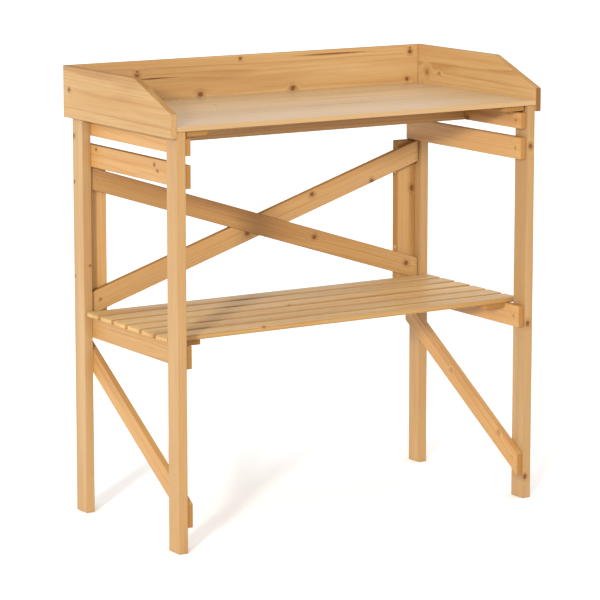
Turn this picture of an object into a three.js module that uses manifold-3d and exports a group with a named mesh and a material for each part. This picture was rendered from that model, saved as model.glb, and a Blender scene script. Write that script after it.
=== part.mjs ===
// A potting bench: four legs, a tray top with a rim on three sides, a slatted shelf,
// braces at both ends and a crossed pair at the back, all held by countersunk screws.
// Millimetres. X runs from left to right, Y from front to back and Z up.
// The origin is on the floor under the middle of the bench.

import * as THREE from 'three';
import Module from 'manifold-3d';
import { mergeVertices } from 'three/addons/utils/BufferGeometryUtils.js';

// Whole bench
const benchWidth = 800;
const benchDepth = 400;
const benchHeight = 840;

// Tray: a tabletop of butted boards with a rim at the left, the right and the back
const rimThickness = 12;
const rimHeight = 96;
const rimFrontHeight = 44;
const rimSlopeLength = 132;
const tabletopTop = 765;
const tabletopThickness = 9;
const tabletopBoards = 4;
const tabletopSeam = 0.4;

// Legs
const legWidth = 18;
const legDepth = 38;
const legFrontSetback = 2;

// Rails and braces in the two end frames
const railThickness = 12;
const railEndSetback = 3;
const topRailBottom = 712;
const topRailHeight = 31;
const secondRailBottom = 654;
const railHeight = 42;
const shelfTop = 385;
const slatThickness = 10;
const endBraceBottom = 45;
const endBraceHeight = 44;
const endBraceTopGap = 1;

// Middle stretcher and battens under the tabletop
const stretcherThickness = 18;
const battenWidth = 43;
const battenThickness = 10;
const topBattenLegGap = 4;
const topBattenFrontSetback = 7;

// Shelf
const slatCount = 6;
const slatWidth = 43;
const shelfDepth = 300;
const slatEndSetback = 2;
const shelfBattenRailGap = 1;
const shelfBattenEndSetback = 5;

// Back: two upright cleats that carry a pair of crossed diagonals
const cleatWidth = 42;
const cleatThickness = 18;
const cleatEndGap = 1;
const diagonalThickness = 12;
const diagonalHeight = 42;
const diagonalEndGap = 1;
const fitGap = 0.3;

// Screws
const screwHeadRadius = 4;
const screwHeadDepth = 2.2;
const screwShankRadius = 2;
const screwTipLength = 4;
const screwLength = 25;
const cleatScrewLength = 50;
const cleatScrewHeights = { lower: 440, upper: 590 };
const screwSides = 8;
const drillClearance = 0.3;

// Levels and faces worked out from the dimensions above
const halfWidth = benchWidth / 2;
const frontFace = -benchDepth / 2;
const backFace = benchDepth / 2;
const rimBottom = benchHeight - rimHeight;
const rimInnerX = halfWidth - rimThickness;
const backRimFront = backFace - rimThickness;
const tabletopUnderside = tabletopTop - tabletopThickness;
const topBattenUnderside = tabletopUnderside - battenThickness;
const legOuterX = rimInnerX;
const legInnerX = legOuterX - legWidth;
const frontLegFront = frontFace + legFrontSetback;
const frontLegBack = frontLegFront + legDepth;
const backLegBack = backRimFront;
const backLegFront = backLegBack - legDepth;
const railInnerX = legInnerX - railThickness;
const railFrontEnd = frontLegFront + railEndSetback;
const railBackEnd = backLegBack - railEndSetback;
const slatUnderside = shelfTop - slatThickness;
const shelfRailBottom = slatUnderside - railHeight;
const cleatFront = backLegBack - cleatThickness;
const cleatInnerX = legInnerX - cleatWidth;
const diagonalFront = cleatFront - diagonalThickness;

const bench = new THREE.Group();

const wasm = await Module();
wasm.setup();

function wood(color) {
  return new THREE.MeshStandardMaterial({ color, roughness: 0.55, metalness: 0 });
}

const legWood = wood(0xd8a562);
const railWood = wood(0xd4a05c);
const topWood = wood(0xd9b98f);
const rimWood = wood(0xdba864);
const slatWood = wood(0xd6a873);
const screwMetal = new THREE.MeshStandardMaterial({ color: 0xb9984f, roughness: 0.35, metalness: 1 });

// Manifold solids from three.js geometry, and back

function toSolid(geometry) {
  const bare = geometry.clone();
  bare.deleteAttribute('normal');
  bare.deleteAttribute('uv');
  const merged = mergeVertices(bare, 1e-4);
  return new wasm.Manifold(new wasm.Mesh({
    numProp: 3,
    vertProperties: new Float32Array(merged.attributes.position.array),
    triVerts: new Uint32Array(merged.index.array),
  }));
}

function toGeometry(solid) {
  const mesh = solid.getMesh();
  const geometry = new THREE.BufferGeometry();
  geometry.setAttribute('position', new THREE.BufferAttribute(mesh.vertProperties, 3));
  geometry.setIndex(new THREE.BufferAttribute(mesh.triVerts, 1));
  geometry.computeVertexNormals();
  return geometry;
}

// Shapes

function block(xSpan, ySpan, zSpan) {
  const [[x0, x1], [y0, y1], [z0, z1]] = [xSpan, ySpan, zSpan];
  const geometry = new THREE.BoxGeometry(x1 - x0, y1 - y0, z1 - z0);
  return geometry.translate((x0 + x1) / 2, (y0 + y1) / 2, (z0 + z1) / 2);
}

function extruded(outline, thickness) {
  const shape = new THREE.Shape(outline.map(([across, up]) => new THREE.Vector2(across, up)));
  return new THREE.ExtrudeGeometry(shape, { depth: thickness, bevelEnabled: false });
}

// A board whose outline is drawn in Y and Z, seen from the right
function endPlate(outline, [x0, x1]) {
  const alongY = new THREE.Vector3(0, 1, 0);
  const alongZ = new THREE.Vector3(0, 0, 1);
  const alongX = new THREE.Vector3(1, 0, 0);
  const turn = new THREE.Matrix4().makeBasis(alongY, alongZ, alongX);
  return extruded(outline, x1 - x0).applyMatrix4(turn).translate(x0, 0, 0);
}

// A board whose outline is drawn in X and Z, seen from the front
function backPlate(outline, [y0, y1]) {
  const alongX = new THREE.Vector3(1, 0, 0);
  const alongZ = new THREE.Vector3(0, 0, 1);
  const towardsFront = new THREE.Vector3(0, -1, 0);
  const turn = new THREE.Matrix4().makeBasis(alongX, alongZ, towardsFront);
  return extruded(outline, y1 - y0).applyMatrix4(turn).translate(0, y1, 0);
}

// The X span between two distances from the middle, on the left (-1) or right (1) side
function sideSpan(side, inner, outer) {
  return side < 0 ? [-outer, -inner] : [inner, outer];
}

function addPiece(name, geometry, material) {
  const mesh = new THREE.Mesh(geometry, material);
  mesh.name = name;
  bench.add(mesh);
}

// Screws: each is a countersunk head and a shank, and a slightly larger copy drills its hole

function screwProfile(length, clearance) {
  const rim = screwHeadRadius + clearance;
  const shank = screwShankRadius + clearance;
  const outline = [
    [0, -length - clearance],
    [shank, -length + screwTipLength],
    [shank, -screwHeadDepth - clearance],
    [rim, 0],
    [rim, clearance],
    [0, clearance],
  ];
  const used = clearance > 0 ? outline : outline.filter((point, index) => index !== 4);
  return used.map(([radius, height]) => new THREE.Vector2(radius, height));
}

function screwGeometry(screw, clearance) {
  const geometry = new THREE.LatheGeometry(screwProfile(screw.length, clearance), screwSides);
  const down = new THREE.Vector3(0, -1, 0);
  geometry.applyQuaternion(new THREE.Quaternion().setFromUnitVectors(down, screw.direction));
  return geometry.translate(screw.at.x, screw.at.y, screw.at.z);
}

const screws = [];

function addScrew(name, at, direction, length) {
  screws.push({
    name,
    at: new THREE.Vector3(...at),
    direction: new THREE.Vector3(...direction),
    length,
  });
}

function drilled(geometry) {
  geometry.computeBoundingBox();
  let solid = toSolid(geometry);
  for (const screw of screws) {
    const hole = screwGeometry(screw, drillClearance);
    hole.computeBoundingBox();
    if (geometry.boundingBox.intersectsBox(hole.boundingBox)) {
      solid = solid.subtract(toSolid(hole));
    }
  }
  return toGeometry(solid);
}

const sides = [['left', -1], ['right', 1]];
const legCentreY = {
  front: (railFrontEnd + frontLegBack) / 2,
  back: (backLegFront + railBackEnd) / 2,
};

// The end brace climbs from the front leg to just under the shelf rail at the back leg
const endBraceClimb = shelfRailBottom - endBraceTopGap - endBraceHeight - endBraceBottom;

// Height of its lower edge at a place between its two ends
function endBraceEdge(y) {
  return endBraceBottom + endBraceClimb * (y - railFrontEnd) / (railBackEnd - railFrontEnd);
}

// The crossed diagonals fill the space between the second rail and the shelf rail
const diagonalReach = legInnerX - diagonalEndGap;
const crossingHeight = (secondRailBottom + slatUnderside) / 2;
const diagonalRise = (secondRailBottom - fitGap - diagonalHeight / 2 - crossingHeight) / diagonalReach;

function diagonalOutline(rise, extraHeight) {
  const half = diagonalHeight / 2 + extraHeight;
  const climb = rise * diagonalReach;
  return [
    [-diagonalReach, crossingHeight - climb - half],
    [diagonalReach, crossingHeight + climb - half],
    [diagonalReach, crossingHeight + climb + half],
    [-diagonalReach, crossingHeight - climb + half],
  ];
}

// Where the screws go

const railScrewHeights = {
  top_rail: topRailBottom + topRailHeight / 2,
  second_rail: secondRailBottom + railHeight / 2,
  shelf_rail: shelfRailBottom + railHeight / 2,
};
const diagonalScrewX = (cleatInnerX + legInnerX) / 2;

for (const [sideName, side] of sides) {
  for (const [place, y] of Object.entries(legCentreY)) {
    for (const [rail, height] of Object.entries(railScrewHeights)) {
      const at = [side * railInnerX, y, height];
      addScrew(`screw_${rail}_${place}_${sideName}`, at, [side, 0, 0], screwLength);
    }
    const at = [side * railInnerX, y, endBraceEdge(y) + endBraceHeight / 2];
    addScrew(`screw_end_brace_${place}_${sideName}`, at, [side, 0, 0], screwLength);
  }
  for (const [place, height] of Object.entries(cleatScrewHeights)) {
    const at = [side * cleatInnerX, (cleatFront + backLegBack) / 2, height];
    addScrew(`screw_cleat_${place}_${sideName}`, at, [side, 0, 0], cleatScrewLength);
  }
  for (const [place, sign] of [['lower', -1], ['upper', 1]]) {
    const at = [side * diagonalScrewX, diagonalFront, crossingHeight + sign * diagonalRise * diagonalScrewX];
    addScrew(`screw_diagonal_${place}_${sideName}`, at, [0, 1, 0], screwLength);
  }
}

// End frames: legs, rails and braces

const legSpans = {
  front: [frontLegFront, frontLegBack],
  back: [backLegFront, backLegBack],
};

for (const [sideName, side] of sides) {
  const legSpan = sideSpan(side, legInnerX, legOuterX);
  const railSpan = sideSpan(side, railInnerX, legInnerX);
  const railReach = [railFrontEnd, railBackEnd];

  for (const [place, ySpan] of Object.entries(legSpans)) {
    const leg = block(legSpan, ySpan, [0, tabletopUnderside]);
    addPiece(`leg_${place}_${sideName}`, drilled(leg), legWood);
  }

  const rails = [
    ['top_rail', topRailBottom, topRailHeight],
    ['second_rail', secondRailBottom, railHeight],
    ['shelf_rail', shelfRailBottom, railHeight],
  ];
  for (const [rail, bottom, height] of rails) {
    const board = block(railSpan, railReach, [bottom, bottom + height]);
    addPiece(`${rail}_${sideName}`, drilled(board), railWood);
  }

  const braceOutline = [
    [railFrontEnd, endBraceEdge(railFrontEnd)],
    [railBackEnd, endBraceEdge(railBackEnd)],
    [railBackEnd, endBraceEdge(railBackEnd) + endBraceHeight],
    [railFrontEnd, endBraceEdge(railFrontEnd) + endBraceHeight],
  ];
  addPiece(`end_brace_${sideName}`, drilled(endPlate(braceOutline, railSpan)), railWood);
}

// Back: cleats and the crossed diagonals, halved into each other where they meet

for (const [sideName, side] of sides) {
  const cleatSpan = sideSpan(side, cleatInnerX, legInnerX);
  const cleatHeights = [slatUnderside + cleatEndGap, secondRailBottom - cleatEndGap];
  const cleat = block(cleatSpan, [cleatFront, backLegBack], cleatHeights);
  addPiece(`back_cleat_${sideName}`, drilled(cleat), railWood);
}

const lapMiddle = diagonalFront + diagonalThickness / 2;
const crossed = [
  ['back_diagonal_rising', diagonalRise, [diagonalFront - fitGap, lapMiddle + fitGap / 2]],
  ['back_diagonal_falling', -diagonalRise, [lapMiddle - fitGap / 2, cleatFront + fitGap]],
];
for (const [name, rise, notchSpan] of crossed) {
  const board = drilled(backPlate(diagonalOutline(rise, 0), [diagonalFront, cleatFront]));
  const notch = backPlate(diagonalOutline(-rise, fitGap), notchSpan);
  addPiece(name, toGeometry(toSolid(board).subtract(toSolid(notch))), railWood);
}

// Under the tabletop: the middle stretcher between the top rails, and two battens

const frameMiddleY = (frontLegFront + backLegBack) / 2;
const stretcherY = [frameMiddleY - stretcherThickness / 2, frameMiddleY + stretcherThickness / 2];
const stretcherZ = [topRailBottom, topBattenUnderside];
addPiece('top_stretcher', block([-railInnerX, railInnerX], stretcherY, stretcherZ), railWood);

for (const [sideName, side] of sides) {
  const outer = legInnerX - topBattenLegGap;
  const xSpan = sideSpan(side, outer - battenWidth, outer);
  const ySpan = [frontFace + topBattenFrontSetback, railBackEnd];
  const batten = block(xSpan, ySpan, [topBattenUnderside, tabletopUnderside]);
  addPiece(`top_batten_${sideName}`, batten, railWood);
}

// Tray: tabletop boards and rims

const boardPitch = (backRimFront - frontFace + tabletopSeam) / tabletopBoards;
for (let index = 0; index < tabletopBoards; index += 1) {
  const front = frontFace + index * boardPitch;
  const ySpan = [front, front + boardPitch - tabletopSeam];
  const board = block([-rimInnerX, rimInnerX], ySpan, [tabletopUnderside, tabletopTop]);
  addPiece(`tabletop_board_${index + 1}`, board, topWood);
}

const rimOutline = [
  [frontFace, rimBottom],
  [backFace, rimBottom],
  [backFace, benchHeight],
  [frontFace + rimSlopeLength, benchHeight],
  [frontFace, rimBottom + rimFrontHeight],
];
for (const [sideName, side] of sides) {
  addPiece(`rim_${sideName}`, endPlate(rimOutline, sideSpan(side, rimInnerX, halfWidth)), rimWood);
}
const backRim = block([-rimInnerX, rimInnerX], [backRimFront, backFace], [rimBottom, benchHeight]);
addPiece('rim_back', backRim, rimWood);

// Shelf: slats on the two shelf rails, tied by two battens underneath

const shelfMiddleY = (frontLegBack + backLegFront) / 2;
const shelfFront = shelfMiddleY - shelfDepth / 2;
const slatPitch = (shelfDepth - slatWidth) / (slatCount - 1);
const slatReach = legOuterX - slatEndSetback;
for (let index = 0; index < slatCount; index += 1) {
  const front = shelfFront + index * slatPitch;
  const slat = block([-slatReach, slatReach], [front, front + slatWidth], [slatUnderside, shelfTop]);
  addPiece(`shelf_slat_${index + 1}`, slat, slatWood);
}

for (const [sideName, side] of sides) {
  const outer = railInnerX - shelfBattenRailGap;
  const xSpan = sideSpan(side, outer - battenWidth, outer);
  const ySpan = [shelfFront + shelfBattenEndSetback, shelfFront + shelfDepth - shelfBattenEndSetback];
  const batten = block(xSpan, ySpan, [slatUnderside - battenThickness, slatUnderside]);
  addPiece(`shelf_batten_${sideName}`, batten, railWood);
}

for (const screw of screws) {
  addPiece(screw.name, screwGeometry(screw, 0), screwMetal);
}

export default bench;
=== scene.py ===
# Potting bench: wooden boards, screws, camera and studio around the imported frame. Metres, Z up.
import math
import random

import bmesh
import bpy
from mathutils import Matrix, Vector, noise


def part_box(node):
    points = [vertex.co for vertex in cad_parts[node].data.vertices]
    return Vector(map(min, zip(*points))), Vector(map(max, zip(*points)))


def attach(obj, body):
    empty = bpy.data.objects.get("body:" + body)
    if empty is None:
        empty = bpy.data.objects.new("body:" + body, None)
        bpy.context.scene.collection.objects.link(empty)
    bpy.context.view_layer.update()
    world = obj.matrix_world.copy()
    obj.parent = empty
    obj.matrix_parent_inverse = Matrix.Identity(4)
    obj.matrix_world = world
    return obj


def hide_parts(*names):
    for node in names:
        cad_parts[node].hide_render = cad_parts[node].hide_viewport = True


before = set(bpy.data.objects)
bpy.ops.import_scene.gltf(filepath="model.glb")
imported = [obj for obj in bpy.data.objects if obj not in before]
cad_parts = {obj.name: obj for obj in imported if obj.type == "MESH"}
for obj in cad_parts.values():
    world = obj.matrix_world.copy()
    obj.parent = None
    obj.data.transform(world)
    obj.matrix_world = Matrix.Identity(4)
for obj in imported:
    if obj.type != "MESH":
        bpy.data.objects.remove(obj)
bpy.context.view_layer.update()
scene = bpy.context.scene
print("frame loaded:", len(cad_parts), "nodes")


# Small helpers for node trees

def feed(tree, socket, value):
    # a socket takes another node's output or a plain value
    if isinstance(value, bpy.types.NodeSocket):
        tree.links.new(value, socket)
    elif socket.type == "RGBA":
        socket.default_value = (*value, 1)
    else:
        socket.default_value = value


def put(tree, kind, feeds=None, **settings):
    node = tree.nodes.new(kind)
    for name, value in settings.items():
        setattr(node, name, value)
    for socket, value in (feeds or {}).items():
        feed(tree, node.inputs[socket], value)
    return node


def maths(tree, operation, *values, clamp=False):
    feeds = dict(enumerate(values))
    return put(tree, "ShaderNodeMath", feeds, operation=operation, use_clamp=clamp).outputs[0]


def plus(tree, first, second):
    return maths(tree, "ADD", first, second)


def times(tree, first, second):
    return maths(tree, "MULTIPLY", first, second)


def vectors(tree, operation, *values):
    return put(tree, "ShaderNodeVectorMath", dict(enumerate(values)), operation=operation).outputs[0]


def lengthOf(tree, vector):
    return put(tree, "ShaderNodeVectorMath", {0: vector}, operation="LENGTH").outputs["Value"]


def combine(tree, x, y, z):
    return put(tree, "ShaderNodeCombineXYZ", {0: x, 1: y, 2: z}).outputs[0]


def split(tree, vector):
    return put(tree, "ShaderNodeSeparateXYZ", {0: vector}).outputs


def rescale(tree, value, fromLow, fromHigh, toLow, toHigh, soft=False):
    feeds = {"Value": value, 1: fromLow, 2: fromHigh, 3: toLow, 4: toHigh}
    kind = "SMOOTHSTEP" if soft else "LINEAR"
    return put(tree, "ShaderNodeMapRange", feeds, interpolation_type=kind).outputs[0]


def mixed(tree, amount, first, second, blend="MIX"):
    feeds = {"Factor": amount, 6: first, 7: second}
    return put(tree, "ShaderNodeMix", feeds, data_type="RGBA", blend_type=blend).outputs[2]


def bumpFrom(tree, height, look):
    feeds = {"Strength": look["bump"], "Distance": look["bumpDepth"], "Height": height}
    return put(tree, "ShaderNodeBump", feeds).outputs[0]


def newMaterial(name):
    material = bpy.data.materials.new(name)
    material.use_nodes = True
    tree = material.node_tree
    return material, tree, tree.nodes["Principled BSDF"].inputs


# Camera, light and floor

view = {
    "place": (-2.880, -4.522, 1.373),
    "turn": 32.41,
    "tilt": 9.185,
    "lens": 173.7,
    "shiftY": -0.10,
    "farthest": 200,
}
studio = {
    "lamps": {  # degrees: around the bench from its front, height above the floor, softness
        "keyLight": {"around": -48, "height": 14, "softness": 6, "strength": 3.0},
        "frontFill": {"around": 5, "height": 42, "softness": 70, "strength": 0.30},
    },
    "skyLow": 0.98,
    "skyHigh": 1.16,
}
ground = {
    "half": 20,
    "dull": (0.95, 0.95, 0.95),
    "bright": (0.97, 0.97, 0.97),
    "cloudScale": 1.5,
    "roughness": 0.9,
}


def setCamera():
    data = bpy.data.cameras.new("benchCamera")
    data.lens = view["lens"]
    data.shift_y = view["shiftY"]
    data.clip_end = view["farthest"]
    camera = bpy.data.objects.new("benchCamera", data)
    camera.location = view["place"]
    camera.rotation_euler = (math.radians(90 - view["tilt"]), 0, -math.radians(view["turn"]))
    scene.collection.objects.link(camera)
    scene.camera = camera


def setStudio():
    scene.view_settings.view_transform = "Standard"
    world = bpy.data.worlds.new("studioSky")
    world.use_nodes = True
    tree = world.node_tree
    sky = tree.nodes["Background"].inputs
    feed(tree, sky["Color"], (1, 1, 1))
    upward = split(tree, put(tree, "ShaderNodeTexCoord").outputs["Generated"])[2]
    feed(tree, sky["Strength"], rescale(tree, upward, 0, 1, studio["skyLow"], studio["skyHigh"]))
    scene.world = world
    for name, lamp in studio["lamps"].items():
        data = bpy.data.lights.new(name, "SUN")
        data.energy = lamp["strength"]
        data.angle = math.radians(lamp["softness"])
        light = bpy.data.objects.new(name, data)
        light.rotation_euler = (math.radians(90 - lamp["height"]), 0, math.radians(lamp["around"]))
        scene.collection.objects.link(light)


def makeFloor():
    half = ground["half"]
    mesh = bpy.data.meshes.new("floor")
    corners = [(-half, -half, 0), (half, -half, 0), (half, half, 0), (-half, half, 0)]
    mesh.from_pydata(corners, [], [(0, 1, 2, 3)])
    material, tree, shader = newMaterial("paleFloor")
    place = put(tree, "ShaderNodeTexCoord").outputs["Object"]
    feeds = {"Vector": place, "Scale": ground["cloudScale"], "Detail": 2}
    cloud = put(tree, "ShaderNodeTexNoise", feeds).outputs[0]
    feed(tree, shader["Base Color"], mixed(tree, cloud, ground["dull"], ground["bright"]))
    feed(tree, shader["Roughness"], ground["roughness"])
    mesh.materials.append(material)
    floor = bpy.data.objects.new("floor", mesh)
    scene.collection.objects.link(floor)


setCamera()
setStudio()
makeFloor()
print("camera, light and floor set")


# Varnished fir. The attribute grain holds a point's place in its tree: X along the trunk, Y and Z from
# the pith. A knot, a streak or a stain, which also serves as painted shadow, is a branch out of the pith:
# (place on the trunk, angle, radius).

markNames = {
    "knots": [f"knot{i}" for i in range(1, 9)],
    "streaks": ["streak1", "streak2"],
    "stainsAndShade": ["stain1", "stainAndShade2"],
}
markStretch = {"knots": 0.8, "streaks": 0.022, "stainsAndShade": 0.05}
branchShape = {
    "smallest": 1e-5,
    "raggedScale": 330,
    "ragged": (0.2, 0.8, 0.78, 1.22),
    "farAway": 50,  # in radii, as is the distance that is added on the other side of the pith
    "otherSide": 100,
    "fall": -0.16,
    "swell": 1.1,
}

fir = {
    "early": (0.490, 0.290, 0.116),
    "late": (0.370, 0.182, 0.052),
    "blush": (0.560, 0.365, 0.175),
    "amber": (0.470, 0.232, 0.064),
    "heartwood": (0.330, 0.138, 0.030),
    # tint of stains, and of painted shadow where a stain mark stands for shade
    "stain": (0.80, 0.71, 0.63),
    "knot": (0.190, 0.052, 0.010),
    "bark": (0.085, 0.022, 0.004),
    "halo": (0.270, 0.112, 0.028),
    # colour of the cut ends, also laid on narrow long faces as painted shade
    "endGrain": (0.290, 0.130, 0.036),
    # colour of the eased edges: pooled varnish, and painted shade along the edge lines
    "bare": (0.310, 0.140, 0.034),
    "ringWidth": 0.0030,
    "roughness": 0.46,
    "varnish": 0.10,
    "varnishRoughness": 0.22,
    "bump": 0.45,
    "bumpDepth": 0.0003,
}
woods = {
    "leg_wood": {},
    "rail_wood": {
        "early": (0.555, 0.306, 0.101),
        "late": (0.385, 0.162, 0.037),
        "blush": (0.530, 0.320, 0.135),
    },
    "top_wood": {
        "early": (0.595, 0.420, 0.240),
        "late": (0.450, 0.258, 0.110),
        "blush": (0.560, 0.420, 0.270),
        "amber": (0.470, 0.285, 0.110),
        "endGrain": (0.440, 0.250, 0.095),
        "roughness": 0.36,
        "varnish": 0.25,
    },
    "rim_wood": {
        "early": (0.555, 0.335, 0.130),
        "late": (0.375, 0.172, 0.044),
        "endGrain": (0.230, 0.105, 0.034),
        "ringWidth": 0.0034,
        "roughness": 0.50,
    },
    # lighter than the fir: partly the slats' own paler wood, partly painted light on the shelf, which lies
    # in shade under the tabletop
    "slat_wood": {
        "early": (0.735, 0.490, 0.210),
        "late": (0.520, 0.280, 0.088),
        "endGrain": (0.300, 0.140, 0.040),
        "roughness": 0.50,
    },
}

# Noise in the wood: its scale along the trunk and across it, its detail and its roughness
figure = {
    "wander": (1.3, 7, 2, 0.5),
    "uneven": (2.5, 55, 3, 0.5),
    "fibre": (14, 620, 3, 0.6),
    "patch": (2.2, 26, 2, 0.5),
    "band": (1.4, 34, 2, 0.5),
    "dash": (26, 900, 1, 0.5),
}
bandShift = (7, 0, 0)  # keeps the bands apart from the patches
rings = {
    "drift": 0.010,
    "uneven": 1.8,
    "latewood": ((0.45, 0.16), (0.86, 1.0), (0.95, 0.85)),  # share of the year, darkness
    "darkness": 0.62,
}
knotLook = {"rings": 16, "barkAt": 0.92}  # the bark line lies just inside the knot's radius

# The varnish is gone where a face's end-grain and painted-shade amount is above bareFrom; the three dull
# values are added roughness
finish = {
    "bareFrom": 0.4,
    "specular": (0.35, 0.04),
    "fibreDull": (-0.06, 0.08),
    "endDull": 0.22,
    "wearDull": 0.08,
    "endDark": 0.72,
    "lateHeight": 0.5,
    "fibreHeight": 0.7,
}

# Layers of colour: where each begins and ends, in noise or in radii from a mark, and its strength there
fades = {
    "blush": (0.45, 0.75, 0, 0.55),
    "amber": (0.48, 0.72, 0, 0.60),
    "heartwood": (0.40, 0.26, 0, 0.75),
    "dash": (0.66, 0.80, 0, 0.35),
    "stain": (0.1, 1.7, 0.9, 0),
    "halo": (0.9, 3.0, 0.55, 0),
    "core": (0.85, 1.08, 1, 0),
    "bark": (0.03, 0.16, 0.75, 0),
    "streak": (0.35, 1.3, 0.9, 0),
    "raisedKnot": (0.8, 1.1, 0.5, 0),
}

# Straight changes: a value's range and what it turns into
ranges = {
    "yearTone": (0, 1, 0.35, 1.0),
    "fibreTone": (0.3, 0.7, -0.12, 0.22),
    "heartByTone": (-1, 1, 1, 0.15),
    "edgePatches": (0.35, 0.65, 0.65, 0.25),
    "coreRings": (-1, 1, 0, 0.5),
    "shade": (-2, 1, 0.58, 0.95),
}


def branchGroup():
    group = bpy.data.node_groups.new("branch", "ShaderNodeTree")
    for name, kind in (("Grain", "Vector"), ("Branch", "Vector"), ("Stretch", "Float")):
        group.interface.new_socket(name, in_out="INPUT", socket_type="NodeSocket" + kind)
    for name in ("Distance", "Swell"):
        group.interface.new_socket(name, in_out="OUTPUT", socket_type="NodeSocketFloat")
    given = put(group, "NodeGroupInput").outputs
    here = split(group, given["Grain"])
    place, angle, radius = split(group, given["Branch"])
    sine = maths(group, "SINE", angle)
    cosine = maths(group, "COSINE", angle)
    along = times(group, maths(group, "SUBTRACT", here[0], place), given["Stretch"])
    beside = maths(group, "SUBTRACT", times(group, here[2], cosine), times(group, here[1], sine))
    outward = plus(group, times(group, here[1], cosine), times(group, here[2], sine))

    # Distance from the branch's middle line in branch radii, a little ragged
    least = maths(group, "MAXIMUM", radius, branchShape["smallest"])
    distance = maths(group, "DIVIDE", lengthOf(group, combine(group, along, beside, 0)), least)
    feeds = {"Vector": given["Grain"], "Scale": branchShape["raggedScale"], "Detail": 2}
    ragged = put(group, "ShaderNodeTexNoise", feeds).outputs[0]
    distance = times(group, distance, rescale(group, ragged, *branchShape["ragged"]))
    behind = maths(group, "LESS_THAN", outward, 0)
    distance = plus(group, distance, times(group, behind, branchShape["otherSide"]))

    # The rings swell round the branch by a part of its radius
    fall = maths(group, "EXPONENT", times(group, times(group, distance, distance), branchShape["fall"]))
    swell = times(group, times(group, fall, radius), branchShape["swell"])
    put(group, "NodeGroupOutput", {"Distance": distance, "Swell": swell})
    return group


def named(tree, attribute, output="Fac"):
    return put(tree, "ShaderNodeAttribute", attribute_name=attribute).outputs[output]


def clouds(tree, place, kind):
    along, across, detail, rough = figure[kind]
    stretched = vectors(tree, "MULTIPLY", place, (along, across, across))
    feeds = {"Vector": stretched, "Scale": 1, "Detail": detail, "Roughness": rough}
    return put(tree, "ShaderNodeTexNoise", feeds).outputs


def marksAround(tree, grain, branch):
    # the nearest knot, streak and stain, and how far the knots push the rings aside
    swell = 0
    reach = {}
    for kind, names in markNames.items():
        reach[kind] = branchShape["farAway"]
        for mark in names:
            field = put(tree, "ShaderNodeGroup", node_tree=branch)
            feed(tree, field.inputs["Grain"], grain)
            feed(tree, field.inputs["Branch"], named(tree, mark, "Vector"))
            feed(tree, field.inputs["Stretch"], markStretch[kind])
            reach[kind] = maths(tree, "MINIMUM", reach[kind], field.outputs["Distance"])
            if kind == "knots":
                swell = plus(tree, swell, field.outputs["Swell"])
    return reach, swell


def latewoodOf(tree, grain, swell, ringWidth):
    # growth rings round a pith that wanders a little, some years darker than others
    wander = vectors(tree, "SUBTRACT", clouds(tree, grain, "wander")[1], (0.5, 0.5, 0.5))
    drift = vectors(tree, "MULTIPLY", wander, (0, rings["drift"], rings["drift"]))
    bent = split(tree, vectors(tree, "ADD", grain, drift))
    radial = plus(tree, lengthOf(tree, combine(tree, 0, bent[1], bent[2])), swell)
    years = maths(tree, "DIVIDE", radial, ringWidth)
    years = plus(tree, years, times(tree, clouds(tree, grain, "uneven")[0], rings["uneven"]))
    ramp = put(tree, "ShaderNodeValToRGB", {0: maths(tree, "FRACT", years)})
    stops = ramp.color_ramp.elements
    for spot, level in rings["latewood"]:
        stops.new(spot).color = (level, level, level, 1)
    stops[0].color = (0, 0, 0, 1)
    stops[len(stops) - 1].color = (0, 0, 0, 1)
    feeds = {"W": maths(tree, "FLOOR", years)}
    yearTone = put(tree, "ShaderNodeTexWhiteNoise", feeds, noise_dimensions="1D").outputs[0]
    return times(tree, ramp.outputs[0], rescale(tree, yearTone, *ranges["yearTone"]))


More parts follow.
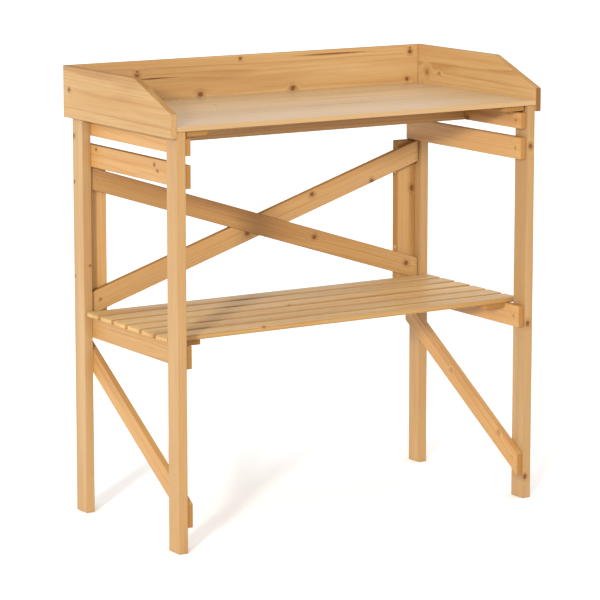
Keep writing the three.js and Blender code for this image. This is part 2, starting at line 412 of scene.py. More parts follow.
def woodMaterial(name, look, branch):
    material, tree, shader = newMaterial(name)

    def layer(under, field, kind, over, blend="MIX"):
        return mixed(tree, rescale(tree, field, *fades[kind], soft=True), under, over, blend)

    grain = named(tree, "grain", "Vector")
    tone = named(tree, "tone")
    wear = named(tree, "wear")
    endFace = named(tree, "endFace")
    reach, swell = marksAround(tree, grain, branch)
    late = latewoodOf(tree, grain, swell, look["ringWidth"])
    fibre = clouds(tree, grain, "fibre")[0]
    patch = clouds(tree, grain, "patch")[0]
    band = clouds(tree, vectors(tree, "ADD", grain, bandShift), "band")[0]

    # Rings and fibres, soft patches and bands, fine resin dashes, then stains and painted shadow, cut ends
    # and painted shade on narrow faces, and darker eased edges
    fibreTone = rescale(tree, fibre, *ranges["fibreTone"])
    amount = maths(tree, "ADD", times(tree, late, rings["darkness"]), fibreTone, clamp=True)
    colour = mixed(tree, amount, look["early"], look["late"])
    colour = layer(colour, patch, "blush", look["blush"])
    colour = layer(colour, band, "amber", look["amber"])
    heart = rescale(tree, patch, *fades["heartwood"], soft=True)
    heart = times(tree, heart, rescale(tree, tone, *ranges["heartByTone"]))
    colour = mixed(tree, heart, colour, look["heartwood"])
    colour = layer(colour, clouds(tree, grain, "dash")[0], "dash", look["halo"])
    # stain marks darken the colour: real stains, and painted shadow on the back rim
    colour = layer(colour, reach["stainsAndShade"], "stain", look["stain"], "MULTIPLY")
    # cut ends take the end-grain colour, narrow long faces take it as painted shade
    colour = mixed(tree, times(tree, endFace, finish["endDark"]), colour, look["endGrain"])
    # eased edges darker in patches: partly pooled varnish, partly painted shade along the edge lines
    easedEdgeShare = times(tree, wear, rescale(tree, patch, *ranges["edgePatches"]))
    colour = mixed(tree, easedEdgeShare, colour, look["bare"])

    # Knots: a warm halo, a reddish core with rings of its own and a thin dark bark line
    plain = colour
    nearest = reach["knots"]
    colour = layer(colour, nearest, "halo", look["halo"])
    coreRings = maths(tree, "SINE", times(tree, nearest, knotLook["rings"]))
    core = mixed(tree, rescale(tree, coreRings, *ranges["coreRings"]), look["knot"], look["halo"])
    colour = layer(colour, nearest, "core", core)
    barkLine = maths(tree, "ABSOLUTE", maths(tree, "SUBTRACT", nearest, knotLook["barkAt"]))
    colour = layer(colour, barkLine, "bark", look["bark"])
    colour = mixed(tree, named(tree, "faint"), colour, plain)
    colour = layer(colour, reach["streaks"], "streak", look["knot"])
    shade = rescale(tree, tone, *ranges["shade"])
    colour = put(tree, "ShaderNodeHueSaturation", {"Value": shade, "Color": colour}).outputs[0]
    feed(tree, shader["Base Color"], colour)

    # Varnish, duller on the ends and the worn edges
    least, most = [look["roughness"] + more for more in finish["fibreDull"]]
    gloss = rescale(tree, fibre, 0.25, 0.75, least, most)
    gloss = plus(tree, gloss, times(tree, endFace, finish["endDull"]))
    gloss = plus(tree, gloss, times(tree, wear, finish["wearDull"]))
    bareFrom = finish["bareFrom"]
    feed(tree, shader["Roughness"], gloss)
    feed(tree, shader["Specular IOR Level"], rescale(tree, endFace, 0, bareFrom, *finish["specular"]))
    feed(tree, shader["Coat Weight"], rescale(tree, endFace, 0, bareFrom, look["varnish"], 0))
    feed(tree, shader["Coat Roughness"], look["varnishRoughness"])
    height = plus(tree, times(tree, late, finish["lateHeight"]), times(tree, fibre, finish["fibreHeight"]))
    height = plus(tree, height, rescale(tree, nearest, *fades["raisedKnot"], soft=True))
    feed(tree, shader["Normal"], bumpFrom(tree, height, look))
    return material


metal = {
    "dull": (0.54, 0.31, 0.114),
    "bright": (0.63, 0.38, 0.149),
    "bloomScale": 420,
    "scuffScale": 2600,
    "roughness": (0.42, 0.62),
    "bump": 0.3,
    "bumpDepth": 0.0001,
}


def metalMaterial():
    material, tree, shader = newMaterial("screw_metal")
    place = put(tree, "ShaderNodeTexCoord").outputs["Object"]
    feeds = {"Vector": place, "Scale": metal["bloomScale"], "Detail": 3}
    bloom = put(tree, "ShaderNodeTexNoise", feeds).outputs[0]
    feeds = {"Vector": place, "Scale": metal["scuffScale"], "Detail": 2}
    scuff = put(tree, "ShaderNodeTexNoise", feeds).outputs[0]
    feed(tree, shader["Base Color"], mixed(tree, bloom, metal["dull"], metal["bright"]))
    feed(tree, shader["Roughness"], rescale(tree, scuff, 0.3, 0.7, *metal["roughness"]))
    feed(tree, shader["Normal"], bumpFrom(tree, scuff, metal))
    feed(tree, shader["Metallic"], 1)
    return material


branchNodes = branchGroup()
materials = {name: woodMaterial(name, {**fir, **change}, branchNodes) for name, change in woods.items()}
materials["screw_metal"] = metalMaterial()
print("materials made:", ", ".join(materials))


# Mesh helpers

sharpFrom = math.radians(38)
flatWithin = math.radians(0.5)
weld = 1e-6


def newPiece(name, bm):
    mesh = bpy.data.meshes.new(name)
    bm.to_mesh(mesh)
    bm.free()
    piece = bpy.data.objects.new(name, mesh)
    scene.collection.objects.link(piece)
    return piece


def settle(piece):
    # the evaluated shape becomes a plain mesh
    graph = bpy.context.evaluated_depsgraph_get()
    shape = piece.evaluated_get(graph)
    mesh = bpy.data.meshes.new_from_object(shape, preserve_all_data_layers=True, depsgraph=graph)
    piece.modifiers.clear()
    piece.data = mesh


def hullOf(points):
    bm = bmesh.new()
    for point in points:
        bm.verts.new(point)
    bmesh.ops.remove_doubles(bm, verts=bm.verts, dist=weld)
    made = bmesh.ops.convex_hull(bm, input=bm.verts)
    spare = {v for v in made["geom_interior"] + made["geom_unused"] if isinstance(v, bmesh.types.BMVert)}
    bmesh.ops.delete(bm, geom=list(spare), context="VERTS")
    bmesh.ops.dissolve_limit(bm, angle_limit=flatWithin, verts=bm.verts, edges=bm.edges)
    bmesh.ops.recalc_face_normals(bm, faces=bm.faces)
    return bm


def cutAway(piece, cutter):
    tool = piece.modifiers.new("cut", "BOOLEAN")
    tool.operation = "DIFFERENCE"
    tool.solver = "EXACT"
    tool.object = cutter
    settle(piece)
    bpy.data.objects.remove(cutter)


def setAttribute(mesh, name, kind, domain, values):
    layer = mesh.attributes.get(name) or mesh.attributes.new(name, kind, domain)
    field = "vector" if kind == "FLOAT_VECTOR" else "value"
    layer.data.foreach_set(field, values)


def setMarks(mesh, branches):
    # branches: {attribute name: one (place, angle, radius) for each vertex}
    for names in markNames.values():
        for name in names:
            rows = branches.get(name) or [(0, 0, 0)] * len(mesh.vertices)
            setAttribute(mesh, name, "FLOAT_VECTOR", "POINT", [n for row in rows for n in row])


def inBox(node, share):
    low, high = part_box(node)
    return Vector(low[i] + (high[i] - low[i]) * share[i] for i in range(3))


def branchAt(point, radius):
    return (point.x, math.atan2(point.z, point.y), radius)


def smoothFaces(piece):
    mesh = piece.data
    mesh.shade_smooth()
    mesh.set_sharp_from_angle(angle=sharpFrom)
    fair = piece.modifiers.new("normals", "WEIGHTED_NORMAL")
    fair.keep_sharp = True
    settle(piece)


def finishPiece(piece, nodes):
    smoothFaces(piece)
    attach(piece, "root")
    if nodes:
        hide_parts(*nodes)


# Screws: where the frame has them, and which way they point

screw = {
    "headRadius": 0.0040,
    "headDepth": 0.0022,
    "headFlat": 0.93,  # share of the radius inside the head's rounded rim
    "headRim": (0.00022, 0.0004),
    "shankRadius": 0.0017,
    "threadRadius": 0.0021,
    "pitch": 0.0016,
    "neck": 0.001,
    "tip": 0.004,
    "sides": 20,
    "sink": 0.00025,
    "pocketGap": 0.00015,
    "pocketDepth": 0.0028,
    "pocketSides": 28,
    "overshoot": 0.0002,
    "recessWidth": 0.0009,
    "recessReach": 0.55,
    "recessLevels": ((0.0005, 1.1), (-0.0017, 0.45)),  # height, and width against the full width
    "seed": 7,
}


def screwPlaces(nodes):
    places = []
    for node in nodes:
        low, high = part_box(node)
        size = high - low
        middle = (low + high) / 2
        if size.x > size.y:  # a screw that points outwards from inside the end frame
            side = 1 if middle.x > 0 else -1
            head = Vector((low.x if side > 0 else high.x, middle.y, middle.z))
            places.append((head, Vector((side, 0, 0))))
        else:
            places.append((Vector((middle.x, low.y, middle.z)), Vector((0, 1, 0))))
    return places


def pocketCutter(places):
    # a cone for each head, which starts a little outside the face
    bm = bmesh.new()
    depth = screw["pocketDepth"]
    spare = screw["overshoot"]
    for head, direction in places:
        turn = direction.to_track_quat("Z", "Y").to_matrix().to_4x4()
        turn.translation = head + direction * (depth / 2 - spare / 2)
        bmesh.ops.create_cone(bm, cap_ends=True, segments=screw["pocketSides"], depth=depth + spare,
                              radius1=screw["headRadius"] + screw["pocketGap"],
                              radius2=screw["shankRadius"], matrix=turn)
    bmesh.ops.recalc_face_normals(bm, faces=bm.faces)
    return newPiece("pockets", bm)


# Boards: the node's plain outline with eased edges, slightly uneven along the arris

easing = {
    "radius": 0.0012,
    "segments": 3,
    "cutEvery": 0.04,
    "sharp": 0.3,
    "uneven": 0.00022,
    "biteScale": 55,
}
faceTurns = {"square": 0.75, "slanted": 0.3}  # how much of a face's normal lies along an axis of the board
# how much end-grain colour a face takes: edge is painted shade on narrow long faces, end and slantedEnd are
# the cut ends
shades = {"edge": 0.45, "end": 1.0, "slantedEnd": 0.6}


def boardAxes(bm):
    longest = max(bm.edges, key=lambda e: e.calc_length())
    along = (longest.verts[1].co - longest.verts[0].co).normalized()
    spans = [max(v.co[i] for v in bm.verts) - min(v.co[i] for v in bm.verts) for i in range(3)]
    through = Vector((0, 0, 0))
    through[spans.index(min(spans))] = 1
    across = along.cross(through).normalized()
    return [axis if sum(axis) > 0 else -axis for axis in (along, across, through)]


def easeEdges(bm, along, radius):
    reach = [v.co.dot(along) for v in bm.verts]
    start = min(reach)
    length = max(reach) - start
    cuts = int(length / easing["cutEvery"])
    for i in range(1, cuts):
        spot = along * (start + length * i / cuts)
        everything = bm.verts[:] + bm.edges[:] + bm.faces[:]
        bmesh.ops.bisect_plane(bm, geom=everything, dist=1e-7, plane_co=spot, plane_no=along)
    arris = [e for e in bm.edges if e.calc_face_angle(0) > easing["sharp"]]
    bmesh.ops.bevel(bm, geom=arris, offset=radius, offset_type="OFFSET", segments=easing["segments"],
                    profile=0.5, affect="EDGES", clamp_overlap=True)


def roughenArris(mesh, planes, radius):
    # the arris points go in by a hair, more in some places, and they are marked as eased edges for the wood
    wear = []
    for vertex in mesh.vertices:
        nearest = min(abs((vertex.co - spot).dot(normal)) for normal, spot in planes)
        eased = 1e-5 < nearest < radius
        wear.append(1.0 if eased else 0.0)
        if eased:
            bite = noise.noise(vertex.co * easing["biteScale"]) * 0.5 + 0.5
            vertex.co -= vertex.normal * easing["uneven"] * bite
    setAttribute(mesh, "wear", "FLOAT", "POINT", wear)


def endAmount(face, axes, look, family):
    # how dull and dark a face is: its narrow long faces by their family's painted shade, the cut ends by
    # their slant
    if abs(face.normal.dot(axes[1])) > faceTurns["square"]:
        return family.get("paintedEdgeShade", shades["edge"])
    slant = abs(face.normal.dot(axes[0]))
    endShade = look.get("endShade", shades["end"])
    if slant > faceTurns["square"]:
        return endShade
    return endShade * shades["slantedEnd"] if slant > faceTurns["slanted"] else 0.0


def pieceName(node):
    first, *others = node.split("_")
    return first + "".join(word.capitalize() for word in others)


def makeBoard(node, family, cutters=()):
    look = family["looks"].get(node, {})
    bm = hullOf([v.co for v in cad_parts[node].data.vertices])
    planes = [(face.normal.copy(), face.verts[0].co.copy()) for face in bm.faces]
    axes = boardAxes(bm)
    easeEdges(bm, axes[0], easing["radius"])
    piece = newPiece(pieceName(node), bm)
    for cutter in cutters:
        cutAway(piece, cutter)
    mesh = piece.data
    points = len(mesh.vertices)
    roughenArris(mesh, planes, easing["radius"])

    # the board's place in its tree
    rng = random.Random(str(family["seed"]) + node)
    low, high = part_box(node)
    centre = (low + high) / 2
    start = rng.uniform(0, 40)
    pith = look.get("pith") or (rng.uniform(-0.02, 0.02), rng.uniform(0.022, 0.06))
    tone = look.get("tone", rng.uniform(-0.45, 0.45))

    def toGrain(point):
        here = [axis.dot(point - centre) for axis in axes]
        return Vector((here[0] + start, here[1] - pith[0], here[2] - pith[1]))

    branches = {}
    for kind, names in markNames.items():
        for name, (*share, size) in zip(names, look.get(kind, ())):
            branches[name] = [branchAt(toGrain(inBox(node, share)), size)] * points
    grain = [n for vertex in mesh.vertices for n in toGrain(vertex.co)]
    ends = [endAmount(face, axes, look, family) for face in mesh.polygons]
    setAttribute(mesh, "grain", "FLOAT_VECTOR", "POINT", grain)
    setAttribute(mesh, "tone", "FLOAT", "POINT", [tone] * points)
    setAttribute(mesh, "endFace", "FLOAT", "FACE", ends)
    setAttribute(mesh, "faint", "FLOAT", "POINT", [look.get("faint", 0.0)] * points)
    setMarks(mesh, branches)
    mesh.materials.clear()
    mesh.materials.append(materials[family["wood"]])
    finishPiece(piece, [node])


def pair(stem):
    return [stem + "_left", stem + "_right"]


def screwsOf(*stems):
    return [n for n in sorted(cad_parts) if n.startswith("screw_") and all(s in n for s in stems)]


def sideOf(node):
    return node.rsplit("_", 1)[1]


# Legs. A mark is (share of the node's box in X, Y and Z, radius).

legs = {
    "nodes": pair("leg_front") + pair("leg_back"),
    "wood": "leg_wood",
    # painted shade on the legs' narrow front and back faces
    "paintedEdgeShade": 0.15,
    "seed": 3,
    "looks": {
        "leg_front_left": {"tone": 0.15},
        "leg_front_right": {
            "tone": -0.6,
            "pith": (0.045, 0.003),
            "knots": [(0.45, 0, 0.898, 0.0034), (0.35, 0, 0.45, 0.0038), (0.25, 0, 0.056, 0.0036)],
        },
        "leg_back_left": {
            "tone": -0.1,
            "knots": [(0, 0.84, 0.939, 0.0028), (0, 0.86, 0.826, 0.0022), (0, 0.86, 0.592, 0.0020),
                      (0.75, 0, 0.622, 0.0014)],
        },
        "leg_back_right": {"tone": -0.25},
    },
}
for node in legs["nodes"]:
    makeBoard(node, legs)
print("legs made")

# Rails across both end frames

rails = {
    "nodes": pair("top_rail") + pair("second_rail") + pair("shelf_rail"),
    "wood": "rail_wood",
    "seed": 5,
    "looks": {
        # its high tone is partly a lighter board, partly painted light against the shade of the rim above
        "top_rail_left": {"tone": 0.9},
        "top_rail_right": {
            "tone": 0.4,
            "knots": [(0, 0.453, 0.13, 0.0034)],
            "stainsAndShade": [(0, 0.35, 0.60, 0.0060), (0, 0.62, 0.30, 0.0050)],
        },
        "second_rail_left": {
            "tone": 0.3,
            "knots": [(0, 0.855, 0.83, 0.0022), (0, 0.287, 0.74, 0.0024), (0, 0.258, 0.52, 0.0022)],
        },
        # its high tone is partly a lighter board, partly painted light against the shade under the tabletop
        "second_rail_right": {"tone": 0.6},
        "shelf_rail_left": {"tone": -0.3},
    },
}
for node in rails["nodes"]:
    makeBoard(node, rails, [pocketCutter(screwPlaces(screwsOf(node.rsplit("_", 1)[0], sideOf(node))))])
print("rails made")

# Sloping braces in the end frames

endBraces = {
    "nodes": pair("end_brace"),
    "wood": "rail_wood",
    # faint painted shade on the braces' narrow top and bottom faces
    "paintedEdgeShade": 0.08,
    "seed": 8,
    "looks": {
        "end_brace_left": {"tone": 0.0, "knots": [(0, 0.626, 0.746, 0.0026)]},
        "end_brace_right": {
            "tone": 0.1,
            "faint": 0.5,
            "knots": [(0, 0.576, 0.585, 0.0030), (0, 0.158, 0.258, 0.0026)],
        },
    },
}
for node in endBraces["nodes"]:
    makeBoard(node, endBraces, [pocketCutter(screwPlaces(screwsOf("end_brace", sideOf(node))))])
print("end braces made")

# Back braces: upright cleats and two diagonals, half-lapped where they cross

backBraces = {
    "cleats": pair("back_cleat"),
    "diagonals": ("back_diagonal_rising", "back_diagonal_falling"),
    "wood": "rail_wood",
    # strong painted shade on the narrow faces: dark lines along the diagonals' top and bottom edges and the
    # cleats' sides
    "paintedEdgeShade": 0.9,
    "seed": 13,
    "lapClear": 0.001,
    "looks": {
        "back_cleat_right": {
            "tone": -0.35,
            "knots": [(0.80, 0, 0.653, 0.0040)],
            "stainsAndShade": [(0.82, 0, 0.60, 0.0070)],
        },
        "back_cleat_left": {"tone": 0.7},
        "back_diagonal_rising": {
            "tone": 0.1,
            "knots": [(0.461, 0, 0.448, 0.0036), (0.661, 0, 0.678, 0.0034), (0.85, 0, 0.732, 0.0034)],
        },
        "back_diagonal_falling": {
            "tone": -0.5,
            "knots": [(0.668, 0, 0.376, 0.0034), (0.962, 0, 0.121, 0.0034)],
            "stainsAndShade": [(0.30, 0, 0.74, 0.0130), (0.14, 0, 0.88, 0.0120)],
        },
    },
}


def lapCutter(other, front):
    # the other diagonal's outline through the front or the back half of the thickness
    low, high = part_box(other)
    middle = (low.y + high.y) / 2
    clear = backBraces["lapClear"]
    near, far = (low.y - clear, middle) if front else (middle, high.y + clear)
    outline = [v.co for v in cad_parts[other].data.vertices]
    return newPiece("lap", hullOf([(co.x, depth, co.z) for co in outline for depth in (near, far)]))


def diagonalScrews(node, rises):
    # a board that rises has its right end high, one that falls has its left end high
    places = screwPlaces(screwsOf("diagonal"))
    middle = inBox(node, (0, 0, 0.5)).z
    return [place for place in places if ((place[0].x > 0) == (place[0].z > middle)) == rises]


for node in backBraces["cleats"]:
    makeBoard(node, backBraces, [pocketCutter(screwPlaces(screwsOf("cleat", sideOf(node))))])
rising, falling = backBraces["diagonals"]
for node, other in ((rising, falling), (falling, rising)):
    rises = node == rising
    makeBoard(node, backBraces, [lapCutter(other, rises), pocketCutter(diagonalScrews(node, rises))])
print("back braces made")

# Stretcher and battens under the tabletop and the shelf

under = {
    "nodes": ["top_stretcher"] + pair("top_batten") + pair("shelf_batten"),
    "wood": "rail_wood",
    "seed": 21,
    "looks": {"top_stretcher": {"tone": -0.5, "stainsAndShade": [(0.6, 0, 0.5, 0.010)]}},
}
boardRows = {"top": ("tabletop_board", 4), "shelf": ("shelf_slat", 6)}  # the boards' names and their count


def battenPlaces(batten):
    # one screw from below through the batten into each board that it crosses
    stem, count = boardRows[batten.split("_")[0]]
    below = inBox(batten, (0.5, 0.5, 0))
    middles = [inBox(f"{stem}_{i + 1}", (0.5, 0.5, 0.5)).y for i in range(count)]
    return [(Vector((below.x, y, below.z)), Vector((0, 0, 1))) for y in middles]


battenScrews = []
for node in under["nodes"]:
    places = battenPlaces(node) if "batten" in node else []
    battenScrews += places
    makeBoard(node, under, [pocketCutter(places)] if places else [])
print("stretcher and battens made")

# Rims of the tray

rims = {
    "nodes": pair("rim") + ["rim_back"],
    "wood": "rim_wood",
    "seed": 34,
    "looks": {
        "rim_left": {
            "tone": -0.4,
            "endShade": 0.15,
            "pith": (-0.010, 0.055),
            "knots": [(0, 0.94, 0.55, 0.0032)],
        },
        "rim_right": {
            "tone": -0.1,
            "faint": 0.4,
            "endShade": 1.35,
            "knots": [(0, 0.8925, 0.46, 0.0050), (0, 0.79, 0.46, 0.0028)],
        },
        "rim_back": {
            "tone": 0.3,
            "pith": (-0.006, 0.07),
            "knots": [(0.354, 0, 0.27, 0.0042), (0.621, 0, 0.27, 0.0042), (0.965, 0, 0.30, 0.0030),
                      (0.974, 0, 0.86, 0.0032), (0.974, 0, 0.94, 0.0016), (0.468, 0, 0.93, 0.0024),
                      (0.177, 0, 0.71, 0.0034), (0.178, 0, 0.79, 0.0018)],
            "streaks": [(0.215, 0, 0.640, 0.0014), (0.74, 0, 0.915, 0.0019)],
            # two soft dark patches at the left end: painted shadow of the left rim falling on the back rim
            "stainsAndShade": [(0.02, 0, 0.45, 0.022), (0.02, 0, 0.75, 0.018)],
        },
    },
}
crack = {
    "from": (0.195, 0, 0.632),
    "to": (0.275, 0, 0.657),
    "width": 0.0032,
    "depth": 0.0022,
    "widestAt": 0.25,
    "clear": 0.0005,
}


def crackCutter(node):
    # a drying crack: a thin wedge that is widest near its start
    start = inBox(node, crack["from"])
    end = inBox(node, crack["to"])
    middle = start.lerp(end, crack["widestAt"])
    out = Vector((0, -crack["clear"], 0))
    up = Vector((0, 0, crack["width"] / 2))
    bottom = middle + Vector((0, crack["depth"], 0))
    return newPiece("crack", hullOf([start + out, end + out, middle + out + up, middle + out - up, bottom]))


for node in rims["nodes"]:
    makeBoard(node, rims, [crackCutter(node)] if node == "rim_back" else [])
print("rims made")


# Rows of boards, for the tabletop and the shelf

rowCube = {"points": 6, "flat": 0.2}  # points along each edge, and how far the innermost ones are out
# how much end-grain colour the ends take, how much painted shade the long side faces take, and how fast the
# rounded edges count as eased
rowShades = {"end": 0.25, "side": 0.8, "wear": 3.4}
rowTrees = {"low": (0, -0.03, 0.03), "high": (40, 0.03, 0.07), "tone": (-0.4, 0.4)}


def newTree(name, inputs, output):
    tree = bpy.data.node_groups.new(name, "GeometryNodeTree")
    tree.is_modifier = True
    for title, kind in inputs.items():
        tree.interface.new_socket(title, in_out="INPUT", socket_type="NodeSocket" + kind)
    tree.interface.new_socket(output, in_out="OUTPUT", socket_type="NodeSocketGeometry")
    return tree, put(tree, "NodeGroupInput").outputs


def store(tree, geometry, name, kind, domain, value):
    feeds = {"Geometry": geometry, "Name": name, "Value": value}
    return put(tree, "GeometryNodeStoreNamedAttribute", feeds, data_type=kind, domain=domain).outputs[0]


def stored(tree, name, kind):
    return put(tree, "GeometryNodeInputNamedAttribute", {"Name": name}, data_type=kind).outputs[0]


def roundedBoard(tree, given):
    # a cube whose outer rows of points bend into a quarter round at every edge
    feeds = {"Size": (2, 2, 2)} | {"Vertices " + axis: rowCube["points"] for axis in "XYZ"}
    cube = put(tree, "GeometryNodeMeshCube", feeds).outputs[0]
    here = put(tree, "GeometryNodeInputPosition").outputs[0]
    flat = (rowCube["flat"],) * 3
    quarter = (math.pi / 4 / (1 - rowCube["flat"]),) * 3
    away = vectors(tree, "SUBTRACT", vectors(tree, "ABSOLUTE", here), flat)
    away = vectors(tree, "MAXIMUM", away, (0, 0, 0))
    bend = vectors(tree, "NORMALIZE", vectors(tree, "TANGENT", vectors(tree, "MULTIPLY", away, quarter)))
    radius = combine(tree, *[given["Edge radius"]] * 3)
    core = vectors(tree, "MULTIPLY", given["Board size"], (0.5, 0.5, 0.5))
    core = vectors(tree, "SUBTRACT", core, radius)
    reach = vectors(tree, "ADD", core, vectors(tree, "MULTIPLY", bend, radius))
    place = vectors(tree, "MULTIPLY", vectors(tree, "SIGN", here), reach)

    # Ends take the end-grain colour, the long side faces painted shade for the shade in the gaps between
    # boards, and the rounded edges are marked as eased
    facing = split(tree, put(tree, "GeometryNodeInputNormal").outputs[0])
    atEnd = maths(tree, "GREATER_THAN", maths(tree, "ABSOLUTE", facing[0]), 0.5)
    paintedGapShade = maths(tree, "GREATER_THAN", maths(tree, "ABSOLUTE", facing[1]), 0.5)
    atEnd = times(tree, atEnd, rowShades["end"])
    paintedGapShade = times(tree, paintedGapShade, rowShades["side"])
    bends = split(tree, bend)
    flattest = maths(tree, "MAXIMUM", maths(tree, "MAXIMUM", bends[0], bends[1]), bends[2])
    easedEdgeShare = maths(tree, "MULTIPLY", maths(tree, "SUBTRACT", 1, flattest), rowShades["wear"], clamp=True)
    board = store(tree, cube, "endFace", "FLOAT", "FACE", maths(tree, "MAXIMUM", atEnd, paintedGapShade))
    board = store(tree, board, "wear", "FLOAT", "POINT", easedEdgeShare)
    board = put(tree, "GeometryNodeSetPosition", {"Geometry": board, "Position": place}).outputs[0]
    return store(tree, board, "grain", "FLOAT_VECTOR", "POINT", here)


def rowTree():
    inputs = {
        "Count": "Int",
        "Board size": "Vector",
        "First centre": "Vector",
        "Step": "Vector",
        "Edge radius": "Float",
        "Seed": "Int",
        "Wood": "Material",
    }
    tree, given = newTree("board row", inputs, "Boards")
    board = roundedBoard(tree, given)

    # One board after the other, each from its own tree
    feeds = {"Count": given["Count"], "Start Location": given["First centre"], "Offset": given["Step"]}
    line = put(tree, "GeometryNodeMeshLine", mode="OFFSET")
    for name, value in feeds.items():
        feed(tree, line.inputs[name], value)
    feeds = {"Points": line.outputs[0], "Instance": board}
    row = put(tree, "GeometryNodeInstanceOnPoints", feeds).outputs[0]
    row = store(tree, row, "board", "INT", "INSTANCE", put(tree, "GeometryNodeInputIndex").outputs[0])
    row = put(tree, "GeometryNodeRealizeInstances", {"Geometry": row}).outputs[0]
    chance = {"ID": stored(tree, "board", "INT"), "Seed": given["Seed"]}
    feeds = {0: rowTrees["low"], 1: rowTrees["high"]} | chance
    starts = put(tree, "FunctionNodeRandomValue", feeds, data_type="FLOAT_VECTOR").outputs[0]
    feeds = {2: rowTrees["tone"][0], 3: rowTrees["tone"][1]} | chance
    tones = put(tree, "FunctionNodeRandomValue", feeds, data_type="FLOAT").outputs[1]
    grain = vectors(tree, "ADD", stored(tree, "grain", "FLOAT_VECTOR"), starts)
    row = store(tree, row, "grain", "FLOAT_VECTOR", "POINT", grain)
    row = store(tree, row, "tone", "FLOAT", "POINT", tones)
    row = put(tree, "GeometryNodeSetMaterial", {"Geometry": row, "Material": given["Wood"]}).outputs[0]
    put(tree, "NodeGroupOutput", {0: row})
    return tree


def runTree(piece, tree, settings):
    # a modifier's inputs are set by their identifiers
    modifier = piece.modifiers.new(tree.name, "NODES")
    modifier.node_group = tree
    for item in tree.interface.items_tree:
        if item.in_out == "INPUT" and item.name in settings:
            modifier[item.identifier] = settings[item.name]
    settle(piece)


def makeRow(name, row):
    stem, count = row["boards"]
    nodes = [f"{stem}_{i + 1}" for i in range(count)]
    low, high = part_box(nodes[0])
    first = inBox(nodes[0], (0.5, 0.5, 0.5))
    last = inBox(nodes[-1], (0.5, 0.5, 0.5))
    piece = newPiece(name, bmesh.new())
    runTree(piece, boardRow, {
        "Count": count,
        "Board size": high - low,
        "First centre": first,
        "Step": (last - first) / (count - 1),
        "Edge radius": row["radius"],
        "Seed": row["seed"],
        "Wood": materials[row["wood"]],
    })
    mesh = piece.data
    numbers = [0] * len(mesh.vertices)
    mesh.attributes["board"].data.foreach_get("value", numbers)
    branches = {}
    for number, node in enumerate(nodes):
        members = [i for i, n in enumerate(numbers) if n == number]
        shift = mesh.attributes["grain"].data[members[0]].vector - mesh.vertices[members[0]].co
        look = row["looks"].get(node, {})
        for kind, names in markNames.items():
            for mark, (*share, size) in zip(names, look.get(kind, ())):
                values = branches.setdefault(mark, [(0, 0, 0)] * len(mesh.vertices))
                value = branchAt(inBox(node, share) + shift, size)
                for i in members:
                    values[i] = value
    setMarks(mesh, branches)
    finishPiece(piece, nodes)


boardRow = rowTree()
tabletop = {
    "boards": boardRows["top"],
    "radius": 0.0007,
    "seed": 4,
    "wood": "top_wood",
    "looks": {
        "tabletop_board_2": {"streaks": [(0.50, 0.5, 1, 0.0007)]},
        "tabletop_board_3": {"streaks": [(0.62, 0.3, 1, 0.0008)], "knots": [(0.30, 0.7, 1, 0.0020)]},
    },
}
shelf = {
    "boards": boardRows["shelf"],
    "radius": 0.0034,
    "seed": 9,
    "wood": "slat_wood",
    "looks": {
        "shelf_slat_1": {"knots": [(0.262, 0.04, 1, 0.0019)]},
        "shelf_slat_4": {"knots": [(0.46, 0.1, 1, 0.0022)]},
    },
}
makeRow("tabletopBoards", tabletop)
makeRow("shelfSlats", shelf)
print("tabletop and shelf made")


# Screws with a cross recess, set out on points that carry their direction

def screwTemplate(length):
    # turned from a profile: flat head, cone, threaded shank and tip
    head = screw["headRadius"]
    shank = screw["shankRadius"]
    upper, lower = screw["headRim"]
    profile = [(0, 0), (head * screw["headFlat"], 0), (head, -upper), (head, -lower)]
    profile.append((shank, -screw["headDepth"]))
    depth = screw["headDepth"] + screw["neck"]
    while depth < length - screw["tip"]:
        crest = (screw["threadRadius"], -depth - screw["pitch"] * 0.4)
        profile += [(shank, -depth), crest, (shank, -depth - screw["pitch"] * 0.8)]
        depth += screw["pitch"]
    profile.append((0, -length))
    bm = bmesh.new()
    points = [bm.verts.new((r, 0, z)) for r, z in profile]
    edges = [bm.edges.new(ends) for ends in zip(points, points[1:])]
    bmesh.ops.spin(bm, geom=points + edges, cent=(0, 0, 0), axis=(0, 0, 1), angle=math.tau,
                   steps=screw["sides"])
    bmesh.ops.remove_doubles(bm, verts=bm.verts, dist=weld)
    bmesh.ops.recalc_face_normals(bm, faces=bm.faces)
    template = newPiece("template", bm)
    for turn in (0, math.pi / 2):
        # each slot of the cross narrows towards its floor
        reach = screw["headRadius"] * screw["recessReach"]
        wide = screw["recessWidth"] / 2
        corners = []
        for level, scale in screw["recessLevels"]:
            corners += [(x * reach * scale, y * wide * scale, level) for x in (-1, 1) for y in (-1, 1)]
        spun = [Vector((x * math.cos(turn) - y * math.sin(turn), x * math.sin(turn) + y * math.cos(turn), z))
                for x, y, z in corners]
        cutAway(template, newPiece("slot", hullOf(spun)))
    return template


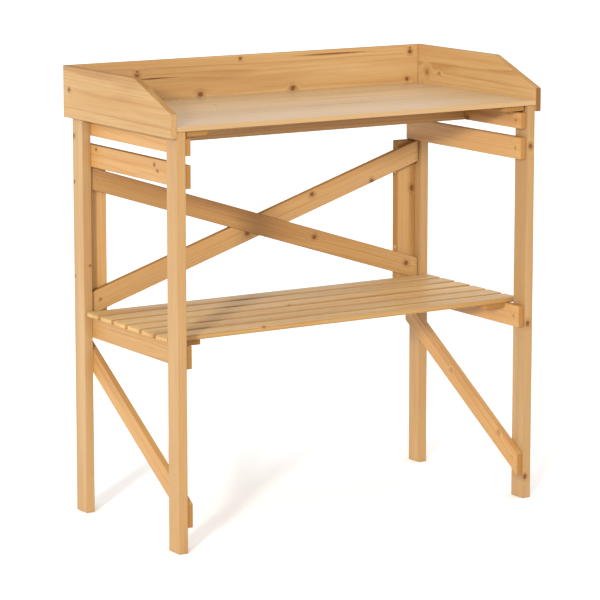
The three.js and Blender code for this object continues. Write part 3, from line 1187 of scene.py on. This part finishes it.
def screwTree():
    inputs = {"Points": "Geometry", "Screw": "Object", "Seed": "Int", "Metal": "Material"}
    tree, given = newTree("screw set", inputs, "Screws")
    shape = put(tree, "GeometryNodeObjectInfo", {"Object": given["Screw"]}).outputs["Geometry"]
    way = stored(tree, "outward", "FLOAT_VECTOR")
    facing = put(tree, "FunctionNodeAlignRotationToVector", {"Vector": way}, axis="Z").outputs[0]
    feeds = {2: 0.0, 3: math.pi, "Seed": given["Seed"]}
    spin = put(tree, "FunctionNodeRandomValue", feeds, data_type="FLOAT").outputs[1]
    feeds = {0: facing, 1: combine(tree, 0, 0, spin)}
    turned = put(tree, "FunctionNodeRotateRotation", feeds, rotation_space="LOCAL").outputs[0]
    feeds = {"Points": given["Points"], "Instance": shape, "Rotation": turned}
    screws = put(tree, "GeometryNodeInstanceOnPoints", feeds).outputs[0]
    screws = put(tree, "GeometryNodeRealizeInstances", {"Geometry": screws}).outputs[0]
    feeds = {"Geometry": screws, "Material": given["Metal"]}
    screws = put(tree, "GeometryNodeSetMaterial", feeds).outputs[0]
    put(tree, "NodeGroupOutput", {0: screws})
    return tree


def makeScrews(name, places, length, nodes=()):
    bm = bmesh.new()
    for head, direction in places:
        bm.verts.new(head + direction * screw["sink"])
    piece = newPiece(name, bm)
    outward = [n for head, direction in places for n in -direction]
    setAttribute(piece.data, "outward", "FLOAT_VECTOR", "POINT", outward)
    template = screwTemplate(length)
    runTree(piece, screwSet, {"Screw": template, "Seed": screw["seed"], "Metal": materials["screw_metal"]})
    bpy.data.objects.remove(template)
    finishPiece(piece, nodes)


screwLengths = {"frameScrews": 0.025, "cleatScrews": 0.050, "battenScrews": 0.016}
screwSet = screwTree()
cleatScrews = screwsOf("cleat")
frameScrews = [node for node in screwsOf() if node not in cleatScrews]
makeScrews("frameScrews", screwPlaces(frameScrews), screwLengths["frameScrews"], frameScrews)
makeScrews("cleatScrews", screwPlaces(cleatScrews), screwLengths["cleatScrews"], cleatScrews)
makeScrews("battenScrews", battenScrews, screwLengths["battenScrews"])
print("screws made")
